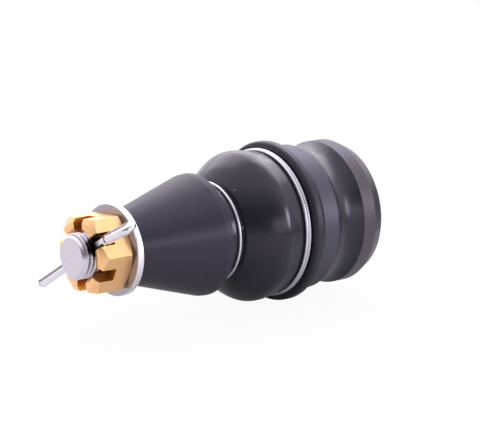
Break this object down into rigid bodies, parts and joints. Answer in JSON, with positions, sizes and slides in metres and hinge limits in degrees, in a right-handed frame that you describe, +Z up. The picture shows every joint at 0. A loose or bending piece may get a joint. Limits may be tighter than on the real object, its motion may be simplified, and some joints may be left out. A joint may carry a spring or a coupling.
{
  "type": "suspension ball joint",
  "caption": "Press-in suspension ball joint: steel housing with stop flange, rubber boot, black taper cone on the stud, washer, castle nut and split pin.",
  "frame": {"origin": "centre of the ball, on the axis of the upper press-fit land", "axes": "+X along the stud towards its threaded tip, +Z up with the joint lying on its side, +Y to the side of the split pin's eye"},
  "size_m": [0.103, 0.0496, 0.0496],
  "materials": {
    "housing": "black coated, lands ground grey",
    "cover": "zinc plated, dull",
    "race": "moulded acetal",
    "spring": "oiled spring steel",
    "seal": "moulded rubber",
    "stud": "bright zinc plated",
    "sleeve": "black satin coated",
    "washer": "bright zinc plated",
    "nut": "yellow zinc plated",
    "pin": "bright plated",
    "boot": "moulded rubber, slight sheen",
    "ring": "bright spring wire"
  },
  "bodies": {
    "housing": {"housing": "housing", "end_cover": "cover", "upper_race": "race", "lower_race": "race", "preload_spring": "spring", "cover_seal": "seal", "boot_ring_large": "ring"},
    "boot": {"dust_boot": "boot"},
    "neck": {"boot_ring_small": "ring", "neck_insert": "cover"},
    "stud": {"ball_stud": "stud", "taper_sleeve": "sleeve", "washer": "washer", "castle_nut": "nut", "cotter_pin": "pin"}
  },
  "joints": [
    {"name": "turn", "type": "hinge", "parent": "housing", "child": "boot", "pos_m": [0, 0, 0], "axis": [1, 0, 0], "continuous": true},
    {"name": "swing", "type": "hinge", "parent": "boot", "child": "neck", "pos_m": [0, 0, 0], "axis": [0, 1, 0], "range_deg": [-25, 25], "deforming": ["dust_boot"]},
    {"name": "spin", "type": "hinge", "parent": "neck", "child": "stud", "pos_m": [0, 0, 0], "axis": [1, 0, 0], "continuous": true}
  ]
}
